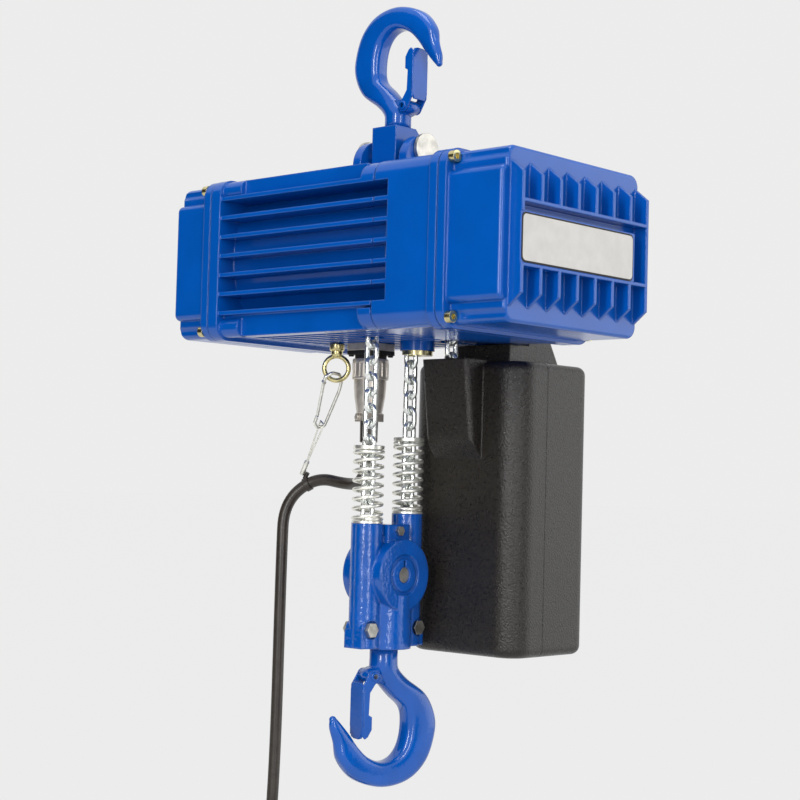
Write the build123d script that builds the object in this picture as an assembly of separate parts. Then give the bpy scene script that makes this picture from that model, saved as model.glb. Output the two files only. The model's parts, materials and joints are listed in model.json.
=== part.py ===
from build123d import *
import math
import os

# Electric chain hoist hanging by its top hook. Millimetres. Every piece is drawn with the load axis on
# X = Y = 0 and the housing's centre on Z = 0, X along the motor, the ribbed front towards -Y. save() then
# moves it down by SEAT_Z, so the origin is the seat of the top hook, where the crane's eye bears.

SEAT_Z = 180.5

# load chain
LINK_WIRE = 3.9
LINK_PITCH = 12.0
LINK_INSIDE = 12.1
LINK_WIDTH = 13.4
POCKETS = 6
WHEEL_SIDES = 2 * POCKETS
FALL_Y = LINK_PITCH / (2 * math.tan(math.pi / WHEEL_SIDES))
SHEAVE_Z = -240.0
FALL_LINKS = 19

# housing
LEFT_X, RIGHT_X = -162.0, 173.0
MOTOR_X = (-118.3, 54.8)
GEAR_X = (55.8, 116.8)
COVER_X = 117.6
BRAKE_X = -119.1
FLANGE = 7.5
FRONT_Y, BAND_Y, PANEL_Y, FLANGE_Y = 83.5, 77.0, 82.5, 85.0
HALF_H, FLANGE_H = 60.5, 63.0
PANEL_H = 46.0
CORNER_R = 13.0
RIB_PITCH, RIB_MID, RIB_T = 14.9, 2.2, 3.2
BARREL_R, BARREL_H = 69.0, 57.0
WALL = 4.0
FIN_PITCH, FIN_T, FIN_OUT = 20.8, 2.6, 11.0
FIN_BASE_Z, FIN_TIP_Z = 50.0, 41.0
RIB_LINE_Z = 21.8
PLATE_Y, PLATE_Z = (-73.5, 56.0), (-20.5, 13.5)
SCREW_Y, SCREW_Z, SCREW_R = 79.5, 55.5, 4.25

# drive
GEAR_MODULE = 1.25
PINION_TEETH, GEAR_TEETH = 10, 50
GEAR_CENTRES = GEAR_MODULE * (PINION_TEETH + GEAR_TEETH) / 2
SHAFT_R, HUB_R, RUNNING = 5.0, 9.0, 0.05
BRAKE_MAGNET_FACE = 120.0

# hooks: heights are measured from the seat, away from the shank
NECK_R, LOAD_NECK_R, SHANK_R = 10.25, 10.8, 7.0
LOAD_HOOK_SCALE = 1.06
LOAD_SEAT_Z = -382.0
LOAD_HOOK_TURN = -105.0
LATCH_PIVOT = (12.0, 61.5)
LATCH_HALF, LATCH_PIN_R, EAR_HALF = 8.6, 2.0, 7.0

# hook block
SHELL_GAP = 0.1
TOWER_R, DISC_R, DISC_X = 12.0, 27.0, 19.6
TOWER_TOP = {-1: -201.5, 1: -194.0}
BLOCK_BOTTOM, WEB_TOP, TOP_BOLT_Z = -296.0, -202.0, -206.8
LUG_Y, LUG_Z, LUG_HALF = 26.0, -281.0, 9.0
SHEAVE_R, CHAIN_ROOM_R = 24.5, 30.2
SPRING_R, SPRING_WIRE, SPRING_TURNS = 10.4, 2.2, 8.5
SPRING_LENGTH, WASHER_T = 54.0, 2.0

# chain container
BOX_X, BOX_Y, BOX_Z = (-17.0, 94.3), (40.0, 130.0), (-300.0, -75.5)
BOX_SEAM, BOX_WALL = 74.4, 3.0
FRONT_CORNER, REAR_CORNER, BOX_EDGE = 20.0, 12.0, 7.0
POCKET_X = (12.3, 58.5)
POCKET_SIDE = [(20.0, -74.5), (28.0, -136.0), (40.5, -151.0)]
BRACKET_X, BRACKET_TOP = (15.5, 68.0), -45.0
SLACK_X, SLACK_Y, SLACK_LINKS = 32.0, 33.0, 6

# control line
CONNECTOR = (-41.0, 20.0)
SOCKET_HALF = 14.2
EYE_X, EYE_Y, EYE_Z = -64.2, 5.0, -80.4
EYE_R, EYE_WIRE = 9.7, 1.9
CLIP_WIRE = 1.4
FERRULE = (-115.2, 23.0, -159.4)
CABLE_R, SLEEVE_R = 4.8, 7.2
CABLE_X, CABLE_Y = -129.0, 12.4
COIL_Z, COIL_R, COIL_THICK, COIL_JOIN = -512.0, 55.0, 12.1, 28.0
PENDANT_TOP, PENDANT_H = -620.0, 150.0


def box(x0, x1, y0, y1, z0, z1):
    return Pos((x0 + x1) / 2, (y0 + y1) / 2, (z0 + z1) / 2) * Box(x1 - x0, y1 - y0, z1 - z0)


def rod_x(x0, x1, r, y=0.0, z=0.0):
    return Pos((x0 + x1) / 2, y, z) * Rot(0, 90, 0) * Cylinder(r, x1 - x0)


def rod_y(y0, y1, r, x=0.0, z=0.0):
    return Pos(x, (y0 + y1) / 2, z) * Rot(90, 0, 0) * Cylinder(r, y1 - y0)


def rod_z(z0, z1, r, x=0.0, y=0.0):
    return Pos(x, y, (z0 + z1) / 2) * Cylinder(r, z1 - z0)


def prism_x(x0, x1, sketch):
    """A sketch drawn as (Y, Z), pushed from x0 to x1."""
    return extrude(Plane(origin=(x0, 0, 0), x_dir=(0, 1, 0), z_dir=(1, 0, 0)) * sketch, x1 - x0)


def block_x(x0, x1, half_y, half_z, r):
    return prism_x(x0, x1, RectangleRounded(2 * half_y, 2 * half_z, r))


def wire_rod(points, radii, r):
    path = FilletPolyline(*points, radius=radii)
    return sweep(Plane(origin=path @ 0, z_dir=path % 0) * Circle(r), path=path)


def save(name, *pieces):
    moved = [Pos(0, 0, -SEAT_Z) * piece for piece in pieces]
    solids = [solid for piece in moved for solid in piece.solids()]
    shape = solids[0] if len(solids) == 1 else Compound(children=solids)
    shape.label = name
    export_step(shape, f"parts/{name}.step")


# ---------------------------------------------------------------- housing castings

def rib_heights():
    return [RIB_MID + RIB_PITCH * step for step in range(-3, 4)]


def barrel_section():
    """Barrel wall, flat top and bottom bands, and the ribs that stand out to the front plane."""
    ribs = rib_heights()
    section = Pos(0, RIB_MID) * Circle(BARREL_R) & Rectangle(2 * BARREL_R, 2 * BARREL_H)
    section += Pos(0, (ribs[-1] + HALF_H) / 2) * Rectangle(2 * BAND_Y, HALF_H - ribs[-1])
    section += Pos(0, (ribs[0] - HALF_H) / 2) * Rectangle(2 * BAND_Y, HALF_H + ribs[0])
    for z in ribs:
        section += Pos(0, z) * Rectangle(2 * FRONT_Y, RIB_T)
    return section


def motor_housing():
    x0, x1 = MOTOR_X
    body = prism_x(x0 + FLANGE, x1 - 12, barrel_section())
    body += block_x(x0, x0 + FLANGE + 3, FLANGE_Y, FLANGE_H, CORNER_R)
    body += prism_x(x1 - 13, x1, barrel_section() & Rectangle(400, 2 * PANEL_H + 4))
    body += block_x(x1 - 13, x1, FRONT_Y, HALF_H, CORNER_R) - block_x(x1 - 14, x1 + 1, 90, PANEL_H, 1)
    for side in (-1, 1):
        for z in (-SCREW_Z + 2, SCREW_Z - 2):
            body += rod_x(x0, x0 + 31, 7.5, side * (SCREW_Y - 5), z)
    for y in range(-60, 61, 12):
        body -= box(x0 + FLANGE + 25, x1 - 16, y - 4, y + 4, -HALF_H - 1, -HALF_H + 5)
    body -= rod_x(x0 - 1, -32, 52)
    body -= box(-20, x1 + 1, -40, 40, -46, 46)
    body -= rod_x(-33, -19, 13)
    for side in (-1, 1):
        body += box(side * 24 - 4, side * 24 + 4, -24, 24, HALF_H - 2, 72) + rod_x(
            side * 24 - 4, side * 24 + 4, 20, 0, 75)
        body -= rod_x(side * 24 - 5, side * 24 + 5, 5.05, 0, 84)
        body -= rod_z(-HALF_H - 1, -40, 9.5, 0, side * FALL_Y)
    body -= box(-20, x1 + 1, -40, 40, -46, 46) + rod_z(-HALF_H - 1, -40, 9.0, SLACK_X, SLACK_Y)
    boss = rod_z(-HALF_H - 7, -HALF_H + 2, 13.5, 4.5, FALL_Y + 2) - rod_z(-70, -50, 8.2, 0, FALL_Y)
    return body + boss - rod_z(-HALF_H - 1, -40, 8.2, 0, FALL_Y)


def gear_housing():
    x0, x1 = GEAR_X
    body = block_x(x0, x1, FRONT_Y, HALF_H + 0.5, CORNER_R)
    body += block_x(x1 - FLANGE, x1, FLANGE_Y, FLANGE_H, CORNER_R + 1)
    ribs = rib_heights()
    for lower, upper in zip(ribs, ribs[1:]):
        groove = box(x0 - 1, x0 + 13, -95, 95, lower + RIB_T / 2, upper - RIB_T / 2)
        body -= groove - rod_x(x0 - 2, x0 + 14, BARREL_R, 0, RIB_MID)
    body -= block_x(x0 + 6, x1 + 1, 76, 52, 6)
    body += rod_x(x0, x0 + 6, 20)
    body -= rod_x(x0 - 1, x0 + 7, 16)
    body += rod_x(x0, x0 + 6, 12, GEAR_CENTRES, 0)
    return body - rod_x(x0 - 1, x0 + 7, SHAFT_R + 3, GEAR_CENTRES, 0)


def cover_body(x0, x1):
    """Bulged front panel between corner bands that are set back for the screws."""
    return block_x(x0, x1, BAND_Y, HALF_H, CORNER_R - 4) + block_x(x0, x1, PANEL_Y, PANEL_H, 5)


def fin(y, z0, z1, chamfer0, chamfer1):
    """Cooling fin on the end face; a chamfered end runs back from the tip at 45 degrees."""
    tip = RIGHT_X + FIN_OUT
    drop = FIN_BASE_Z - FIN_TIP_Z
    outline = [(RIGHT_X - 1, z0), (RIGHT_X, z0), (tip, z0 + drop * chamfer0),
               (tip, z1 - drop * chamfer1), (RIGHT_X, z1), (RIGHT_X - 1, z1)]
    sketch = make_face(Polyline(*outline, close=True))
    return extrude(Plane(origin=(0, y + FIN_T / 2, 0), x_dir=(1, 0, 0), z_dir=(0, -1, 0)) * sketch, FIN_T)


def finned_end_cover():
    body = block_x(COVER_X, COVER_X + FLANGE, FLANGE_Y, FLANGE_H, CORNER_R + 1)
    body += fillet(cover_body(COVER_X, RIGHT_X).faces().sort_by(Axis.X)[-1].edges(), 3)
    body -= block_x(COVER_X - 1, RIGHT_X - WALL, 72, 50, 6)
    last = 3.5 * FIN_PITCH
    for index in range(8):
        y = -last + index * FIN_PITCH
        if index in (0, 7):
            body += fin(y, -FIN_BASE_Z, FIN_BASE_Z, 1, 1)
        else:
            body += fin(y, RIB_LINE_Z, FIN_BASE_Z, 0, 1) + fin(y, -FIN_BASE_Z, -RIB_LINE_Z, 1, 0)
    for z in (-RIB_LINE_Z, RIB_LINE_Z):
        body += box(RIGHT_X - 1, RIGHT_X + FIN_OUT, -last, last, z - 1.2, z + 1.2)
    body += box(RIGHT_X - 1, RIGHT_X + FIN_OUT - 0.8, -last, PLATE_Y[1] + 2, PLATE_Z[0] - 1, PLATE_Z[1] + 1)
    body -= box(RIGHT_X + FIN_OUT - 0.8, RIGHT_X + 20, -last - 3, PLATE_Y[1] + 1,
                PLATE_Z[0] - 0.5, PLATE_Z[1] + 0.5)
    for side in (-1, 1):
        for z in (-SCREW_Z, SCREW_Z):
            body -= rod_x(COVER_X + FLANGE, RIGHT_X + 1, SCREW_R + 0.8, side * SCREW_Y, z)
    return body


def brake_cover():
    body = block_x(BRAKE_X - FLANGE, BRAKE_X, FLANGE_Y, FLANGE_H, CORNER_R + 1)
    body += fillet(cover_body(LEFT_X, BRAKE_X).faces().sort_by(Axis.X)[0].edges(), 3)
    body -= block_x(LEFT_X + WALL, BRAKE_X + 1, 72, 50, 6)
    for side in (-1, 1):
        for z in (-SCREW_Z, SCREW_Z):
            body -= rod_x(LEFT_X - 1, BRAKE_X - FLANGE, SCREW_R + 0.8, side * SCREW_Y, z)
    return body


def housing():
    save("motor_housing", motor_housing())
    save("gear_housing", gear_housing())
    save("finned_end_cover", finned_end_cover())
    save("brake_cover", brake_cover())
    inner = block_x(50, 60, 74, 50, 6)
    save("housing_gasket", block_x(MOTOR_X[1], GEAR_X[0], 80, 58, CORNER_R) - inner)
    hole = block_x(-200, 200, 72, 50, 6)
    ends = [block_x(GEAR_X[1], COVER_X, FLANGE_Y - 1, FLANGE_H - 1, CORNER_R) - hole,
            block_x(BRAKE_X, MOTOR_X[0], FLANGE_Y - 1, FLANGE_H - 1, CORNER_R) - hole]
    save("cover_gaskets", *ends)
    screws = []
    for start, way in ((COVER_X + FLANGE, 1), (BRAKE_X - FLANGE, -1)):
        for y in (-SCREW_Y, SCREW_Y):
            for z in (-SCREW_Z, SCREW_Z):
                end = start + way * 5
                head = rod_x(min(start, end), max(start, end), SCREW_R, y, z)
                seat = Plane((end, y, z), x_dir=(0, 1, 0), z_dir=(-way, 0, 0))
                socket = extrude(seat * RegularPolygon(2.3, 6), 3)
                screws.append(head - socket)
    save("cover_screws", *screws)
    plate = prism_x(RIGHT_X + FIN_OUT - 0.8, RIGHT_X + FIN_OUT, Pos(sum(PLATE_Y) / 2, sum(PLATE_Z) / 2)
                    * RectangleRounded(PLATE_Y[1] - PLATE_Y[0], PLATE_Z[1] - PLATE_Z[0], 4))
    save("name_plate", plate)


# ---------------------------------------------------------------- drive train

def involute(radius_base, radius):
    """Angle that an involute has turned through where it reaches a radius."""
    if radius <= radius_base:
        return 0.0
    pressure = math.acos(radius_base / radius)
    return math.tan(pressure) - pressure


def gear_face(teeth, tip, turn=0.0):
    """Spur gear outline with true involute flanks and a little backlash."""
    pitch = GEAR_MODULE * teeth / 2
    base = pitch * math.cos(math.radians(20))
    root = pitch - 1.3 * GEAR_MODULE
    half_tooth = math.pi / (2 * teeth) - 0.06 * GEAR_MODULE / pitch
    half_base = half_tooth + involute(base, pitch)
    flank_start = max(base, root)
    points = []
    for tooth in range(teeth):
        middle = 2 * math.pi * tooth / teeth + turn
        radii = [flank_start + (tip - flank_start) * step / 4 for step in range(5)]
        left = [(r, middle - half_base + involute(base, r)) for r in radii]
        right = [(r, middle + half_base - involute(base, r)) for r in reversed(radii)]
        feet = [(root, middle - half_base)] if root < base else []
        feet_end = [(root, middle + half_base)] if root < base else []
        points += feet + left + right + feet_end
    return make_face(Polyline(*[(r * math.cos(a), r * math.sin(a)) for r, a in points], close=True))


def gear(x0, x1, teeth, tip, y, turn=0.0):
    face = Plane(origin=(x0, y, 0), x_dir=(0, 1, 0), z_dir=(1, 0, 0)) * gear_face(teeth, tip, turn)
    return extrude(face, x1 - x0)


def drive():
    pinion_tip = GEAR_MODULE * (PINION_TEETH / 2 + 0.9)
    gear_tip = GEAR_MODULE * (GEAR_TEETH / 2 + 0.55)
    half_step = math.pi / GEAR_TEETH
    core = rod_x(-100, -40, 51.8) - rod_x(-101, -39, 31)
    windings = [rod_x(a, b, 48) - rod_x(a - 1, b + 1, 33) for a, b in ((-107, -100), (-40, -33))]
    save("stator", core, *windings)
    save("motor_end_shield", rod_x(-116, -108, 51.8) - rod_x(-117, -107, 13))
    rings = [rod_x(a, b, outer) - rod_x(a - 1, b + 1, inner + RUNNING)
             for a, b, outer, inner in ((-116, -108, 13, SHAFT_R), (-31, -24, 13, SHAFT_R),
                                        (GEAR_X[0], GEAR_X[0] + 6, 16, HUB_R))]
    counter = rod_x(GEAR_X[0], GEAR_X[0] + 6, SHAFT_R + 3, GEAR_CENTRES) - rod_x(
        50, 70, SHAFT_R - 1 + RUNNING, GEAR_CENTRES)
    thrust = rod_z(71.3, 75.2, 10.2) - rod_z(71, 76, SHANK_R + 0.3)
    save("bearings", *rings, counter, thrust)
    rotor = rod_x(-150, 90, SHAFT_R) + rod_x(-98, -42, 30.4)
    save("rotor", rotor + gear(90, 104, PINION_TEETH, pinion_tip, 0))
    save("brake_disc", rod_x(-146, -141, 36) - rod_x(-147, -140, SHAFT_R))
    save("brake_magnet", rod_x(-139, -BRAKE_MAGNET_FACE, 40) - rod_x(-140, -110, SHAFT_R + 3))
    large = gear(91, 101, GEAR_TEETH, gear_tip, GEAR_CENTRES, half_step) & rod_x(80, 110, 40, GEAR_CENTRES)
    shaft = rod_x(GEAR_X[0] + 0.5, 92, SHAFT_R - 1, GEAR_CENTRES)
    small = gear(62.5, 90, PINION_TEETH, pinion_tip, GEAR_CENTRES)
    save("countershaft", large + shaft + small)
    output = gear(63, 69, GEAR_TEETH, gear_tip, 0, half_step) - rod_x(62, 70, HUB_R)
    save("output_gear", output)
    wheel = rod_x(-14, 69, HUB_R) + rod_x(-8.5, 8.5, 25.5)
    wheel -= rod_x(-2.9, 2.9, 30) - rod_x(-4, 4, 14.8)
    wheel -= pocket_cut(0)
    save("chain_wheel", wheel - rod_x(-20, 80, SHAFT_R + 0.6))
    guide = box(-11, 11, -36, 36, -45.9, -33) - rod_x(-12, 12, 31.5)
    for side in (-1, 1):
        guide -= rod_z(-50, -20, 8.2, 0, side * FALL_Y)
    save("chain_guide", guide)
    board = box(126, 128, -60, 60, -42, 42)
    parts = [box(128, 158, y - 18, y + 18, z - 16, z + 16) for y, z in ((-38, 20), (4, 20), (40, -18))]
    save("control_board", board, *parts)


# ---------------------------------------------------------------- chain

def link():
    """One link standing in the XZ plane, centred on the origin."""
    reach = LINK_INSIDE / 2 + LINK_WIRE / 2
    half = (LINK_WIDTH - LINK_WIRE) / 2
    straight = reach - half
    shape = Rot(90, 0, 0) * Torus(half, LINK_WIRE / 2)
    ends = Pos(0, 0, straight) * (shape & box(-20, 20, -20, 20, 0, 20))
    ends += Pos(0, 0, -straight) * (shape & box(-20, 20, -20, 20, -20, 0))
    for side in (-1, 1):
        ends += rod_z(-straight, straight, LINK_WIRE / 2, side * half)
    return ends


LINK = link()


def fall_links(y):
    """Links of a straight fall below the wheel's centre, each turned a quarter from the last."""
    return [Pos(0, y, -LINK_PITCH * step) * Rot(0, 0, 90 * (step % 2)) * LINK
            for step in range(1, FALL_LINKS + 1)]


def wrapped_links(centre_z, way):
    """Links lying over half of a pocket wheel, way +1 over the top and -1 under the bottom."""
    made = []
    for step in range(POCKETS + 1):
        place = Pos(0, 0, centre_z) * Rot(way * 180 / POCKETS * step, 0, 0) * Pos(0, FALL_Y, 0)
        made.append(place * Rot(0, 0, 90 * (step % 2)) * LINK)
    return made


def pocket_cut(centre_z):
    """Space for the links that lie flat round a wheel at the given height."""
    cut = None
    for pocket in range(POCKETS):
        slot = Pos(0, 0, centre_z) * Rot(pocket * 360 / POCKETS, 0, 0) * box(
            -7.1, 7.1, FALL_Y - 2.4, FALL_Y + 10, -10.6, 10.6)
        cut = slot if cut is None else cut + slot
    return cut


def chains():
    save("chain_front_fall", *fall_links(-FALL_Y))
    save("chain_rear_fall", *fall_links(FALL_Y))
    save("wheel_chain", *wrapped_links(0, 1))
    save("sheave_chain", *wrapped_links(SHEAVE_Z, -1))
    slack = [Pos(SLACK_X, SLACK_Y, -30 - LINK_PITCH * step) * Rot(0, 0, 90 * (step % 2)) * LINK
             for step in range(SLACK_LINKS)]
    save("chain_slack", *slack)
    ring = rod_z(-HALF_H - 10.5, -HALF_H - 7, 12, 4.5, FALL_Y + 2) - rod_z(-90, -50, 8.2, 0, FALL_Y)
    save("chain_anchor", ring)


# ---------------------------------------------------------------- hooks

def hook_stations():
    """Inner and outer point of each cross-section as (side, height from the seat), and its thickness."""
    return [((-10.25, 72), (10.25, 72), 20.5), ((-11.6, 66), (9.9, 65), 20.2), ((-20, 58), (5.2, 57), 19.5),
            ((-34.5, 47), (-5.5, 46.5), 18.5), ((-42.5, 32), (-15.8, 37), 18), ((-43, 18), (-17.6, 24), 18),
            ((-36, -1), (-15, 11), 18), ((-21, -14), (-8.5, 2.6), 18), ((1, -18), (1.5, 0), 17.5),
            ((23, -11.5), (12.5, 3.8), 15.5), ((36, 2), (20.6, 11), 12.5), ((40, 15), (27, 20), 9.5),
            ((42.8, 24), (35, 27.2), 7), ((42.4, 27.4), (38.6, 29.6), 4)]


def hook_body(k, neck_r, shank_from, shank_to):
    """Forged hook k times the drawn size, mouth towards +X, lofted through its cross-sections."""
    sections = []
    for outer, inner, thick in hook_stations():
        a, b = Vector(outer[0], 0, outer[1]) * k, Vector(inner[0], 0, inner[1]) * k
        plane = Plane(origin=(a + b) * 0.5, x_dir=b - a, z_dir=(b - a).cross(Vector(0, 1, 0)))
        sections.append(plane * Ellipse((b - a).length / 2, thick / 2 * k))
    x, z = LATCH_PIVOT[0] * k, LATCH_PIVOT[1] * k
    half = EAR_HALF * k
    ear = rod_y(-half, half, 5.2 * k, x, z) + box(0, x, -half, half, z - 5 * k, z + 5 * k)
    neck = rod_z(72 * k, shank_from, neck_r) + rod_z(shank_from, shank_to, SHANK_R)
    return loft(sections) + ear + neck - rod_y(-9 * k, 9 * k, LATCH_PIN_R + RUNNING, x, z)


def latch(k):
    """Pressed channel latch, closed: its far end lies behind the hook's tip."""
    x, z = LATCH_PIVOT[0] * k, LATCH_PIVOT[1] * k
    half = LATCH_HALF * k
    plate = box(13.5 * k, 21.8 * k, -half, half, 17 * k, 60 * k) + rod_y(-half, half, 5 * k, x, z)
    plate -= box(0, 20.2 * k, -half + 1.4 * k, half - 1.4 * k, 10 * k, 75 * k)
    return plate - rod_y(-12 * k, 12 * k, LATCH_PIN_R + RUNNING, x, z)


def latch_pin(k):
    length = (LATCH_HALF + 1) * k
    return rod_y(-length, length, LATCH_PIN_R, LATCH_PIVOT[0] * k, LATCH_PIVOT[1] * k)


def hooks():
    top = Pos(0, 0, SEAT_Z) * Rot(180, 0, 0)
    low = Pos(0, 0, LOAD_SEAT_Z) * Rot(0, 0, LOAD_HOOK_TURN)
    save("top_hook", top * hook_body(1.0, NECK_R, SEAT_Z - 103.3, SEAT_Z - 62))
    save("top_latch", top * latch(1.0))
    save("top_hook_hardware", rod_z(62, 71, 10) - rod_z(61, 72, SHANK_R), top * latch_pin(1.0))
    shank = (-LOAD_SEAT_Z - 287.5, -LOAD_SEAT_Z - 273)
    save("load_hook", low * hook_body(LOAD_HOOK_SCALE, LOAD_NECK_R, *shank))
    save("load_latch", low * latch(LOAD_HOOK_SCALE))
    nut = rod_z(-281.5, -273, 13.5) - rod_z(-283, -272, SHANK_R)
    save("load_hook_hardware", nut, low * latch_pin(LOAD_HOOK_SCALE))


def suspension():
    side_view = [(-15.4, HALF_H), (15.4, HALF_H), (15.4, 95), (7.4, 103), (-15.4, 103)]
    yoke = prism_x(-12.3, 12.3, make_face(Polyline(*side_view, close=True)))
    yoke -= rod_z(HALF_H - 1, 75.2, 10.4)
    yoke -= rod_z(75, 104, SHANK_R + RUNNING)
    pins = []
    for side in (-1, 1):
        yoke -= rod_x(min(side * 7.6, side * 13), max(side * 7.6, side * 13), 5.05, 0, 84)
        ends = sorted((side * 7.8, side * 28.5))
        head = sorted((side * 28.5, side * 31.5))
        pins.append(rod_x(ends[0], ends[1], 5, 0, 84) + rod_x(head[0], head[1], 12.5, 0, 84))
    save("suspension_yoke", yoke)
    save("suspension_pins", *pins)


# ---------------------------------------------------------------- hook block

def block_solid():
    """Drum round the sheave, a tower with a lug for each fall, and the skirt round the hook's neck."""
    body = rod_x(-DISC_X, DISC_X, DISC_R, 0, SHEAVE_Z) + rod_x(-8.2, 8.2, CHAIN_ROOM_R + 1.5, 0, SHEAVE_Z)
    groove = rod_x(DISC_X - 1.5, DISC_X + 1, 15.5, 0, SHEAVE_Z)
    body -= groove - rod_x(DISC_X - 2, DISC_X + 2, 12.5, 0, SHEAVE_Z)
    for side in (-1, 1):
        front = side * (FALL_Y + TOWER_R)
        body += rod_z(BLOCK_BOTTOM + 1, TOWER_TOP[side], TOWER_R, 0, side * FALL_Y)
        body += box(-LUG_HALF, LUG_HALF, min(0, front), max(0, front), BLOCK_BOTTOM + 1, LUG_Z)
        body += rod_x(-LUG_HALF, LUG_HALF, 7.5, side * LUG_Y, LUG_Z)
    body += box(-12.5, 12.5, -12, 12, -226, WEB_TOP)
    body += rod_z(BLOCK_BOTTOM, -255, 20.5)
    body -= rod_x(-9, 9, SHEAVE_R + 0.5, 0, SHEAVE_Z) + rod_x(-7, 7, CHAIN_ROOM_R, 0, SHEAVE_Z)
    for side in (-1, 1):
        body -= rod_z(SHEAVE_Z, -190, 8.2, 0, side * FALL_Y)
        body -= rod_x(-30, 30, 3.1, side * LUG_Y, LUG_Z)
        for x0, x1 in ((-30, -LUG_HALF), (LUG_HALF, 30)):
            body -= rod_x(x0, x1, 6.8, side * LUG_Y, LUG_Z)
    body -= rod_x(-30, 30, 2.1, 0, TOP_BOLT_Z)
    body -= rod_x(-30, 30, 6.0, 0, SHEAVE_Z) + box(-30, 30, -1, 1, SHEAVE_Z, SHEAVE_Z + 11)
    body -= rod_z(-287, -262, 15)
    return body - rod_z(BLOCK_BOTTOM - 1, -280, LOAD_NECK_R + RUNNING)


def hex_x(x0, x1, across, y, z):
    return prism_x(x0, x1, Pos(y, z) * RegularPolygon(across / 2, 6, major_radius=False))


def hook_block():
    body = block_solid()
    save("block_shell_right", body & box(SHELL_GAP / 2, 60, -60, 60, -320, -180))
    save("block_shell_left", body & box(-60, -SHELL_GAP / 2, -60, 60, -320, -180))
    bolts = []
    for y, z, half, r in ((-LUG_Y, LUG_Z, LUG_HALF, 3), (LUG_Y, LUG_Z, LUG_HALF, 3),
                          (0, TOP_BOLT_Z, 12.5, 2)):
        bolts.append(rod_x(-half - 5, half + 0.5, r, y, z) + hex_x(half, half + 1.3 * r, 3.4 * r, y, z))
        bolts.append(hex_x(-half - 1.4 * r, -half, 3.4 * r, y, z) - rod_x(-half - 6, -half + 1, r, y, z))
    save("block_bolts", *bolts)
    save("sheave_axle", rod_x(-DISC_X + 1, DISC_X - 1, 6.0 - RUNNING, 0, SHEAVE_Z))
    sheave = rod_x(-8.5, 8.5, SHEAVE_R, 0, SHEAVE_Z)
    sheave -= rod_x(-2.9, 2.9, 30, 0, SHEAVE_Z) - rod_x(-4, 4, 14.8, 0, SHEAVE_Z)
    save("block_sheave", sheave - pocket_cut(SHEAVE_Z) - rod_x(-20, 20, 6.0, 0, SHEAVE_Z))
    save("load_thrust_bearing", rod_z(-287, -282, 14.5) - rod_z(-288, -281, 11.2))
    springs, washers = [], []
    for side in (-1, 1):
        foot = TOWER_TOP[side]
        helix = Helix(pitch=(SPRING_LENGTH - 2 * SPRING_WIRE) / SPRING_TURNS,
                      height=SPRING_LENGTH - SPRING_WIRE - 0.4, radius=SPRING_R)
        coil = sweep(Plane(origin=helix @ 0, z_dir=helix % 0) * Circle(SPRING_WIRE / 2), path=helix)
        springs.append(Pos(0, side * FALL_Y, foot + WASHER_T + SPRING_WIRE / 2 + 0.2) * coil)
        for z in (foot, foot + WASHER_T + SPRING_LENGTH):
            washers.append(rod_z(z, z + WASHER_T, 11.7, 0, side * FALL_Y)
                           - rod_z(z - 1, z + 5, 7.8, 0, side * FALL_Y))
    save("limit_springs", *springs)
    save("spring_washers", *washers)


# ---------------------------------------------------------------- chain container

def container_shape(inset):
    """The box and its pocket, all drawn in from the outside by inset."""
    (x0, x1), (y0, y1), (z0, z1) = BOX_X, BOX_Y, BOX_Z
    shell = box(x0 + inset, x1 - inset, y0 + inset, y1 - inset, z0 + inset, z1 - inset)
    uprights = shell.edges().filter_by(Axis.Z).group_by(Axis.Y)
    shell = fillet(uprights[0], FRONT_CORNER - inset)
    shell = fillet(shell.edges().filter_by(Axis.Z).group_by(Axis.Y)[-1], REAR_CORNER - inset)
    for end in (0, -1):
        shell = fillet(shell.edges().group_by(Axis.Z)[end], BOX_EDGE - inset)
    (top_y, top), (bend_y, bend), (foot_y, foot) = POCKET_SIDE
    side = [(y0 + 8, top - inset), (top_y + inset, top - inset), (bend_y + inset, bend),
            (foot_y + inset, foot), (y0 + 8, foot)]
    pocket = prism_x(POCKET_X[0] + inset, POCKET_X[1] - inset, make_face(Polyline(*side, close=True)))
    front = pocket.edges().filter_by_position(Axis.Y, top_y + inset - 1, bend_y + inset + 1)
    return shell + fillet(front.filter_by(Axis.X, reverse=True), 4 - inset)


def container():
    (x0, x1), (y0, y1), (z0, z1) = BOX_X, BOX_Y, BOX_Z
    body = container_shape(0) - container_shape(BOX_WALL)
    front, top = POCKET_SIDE[0]
    body -= box(POCKET_X[0] + BOX_WALL, POCKET_X[1] - BOX_WALL, front + BOX_WALL, y0 + 8, top - 8, top + 1)
    save("container_front", body & box(x0 - 9, x1 + 9, y0 - 60, BOX_SEAM - 0.1, z0 - 9, 0))
    save("container_rear", body & box(x0 - 9, x1 + 9, BOX_SEAM + 0.1, y1 + 60, z0 - 9, 0))
    near, under, back = y0 + 20, -HALF_H - 0.6, FRONT_Y + 0.2
    side = [(near, under), (back, under), (back, BRACKET_TOP), (back + 20, BRACKET_TOP),
            (y1 - 8, z1 + 0.05), (near, z1 + 0.05)]
    save("container_bracket", prism_x(*BRACKET_X, make_face(Polyline(*side, close=True))))


# ---------------------------------------------------------------- control line

# The cable leaves its connector downwards, dips behind the chain, turns over the strain relief and hangs.
CABLE_POINTS = [(-41, 20, -123), (-41, 20, -151.7), (-57.8, 31.2, -170.8), (-80, 39.3, -172.8),
                (-109.8, 30, -166.9), (-131.6, 16.4, -188.6), (-128.8, 12.5, -228.3),
                (CABLE_X, CABLE_Y, COIL_Z + COIL_JOIN)]
TIE_AT = 0.34


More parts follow.
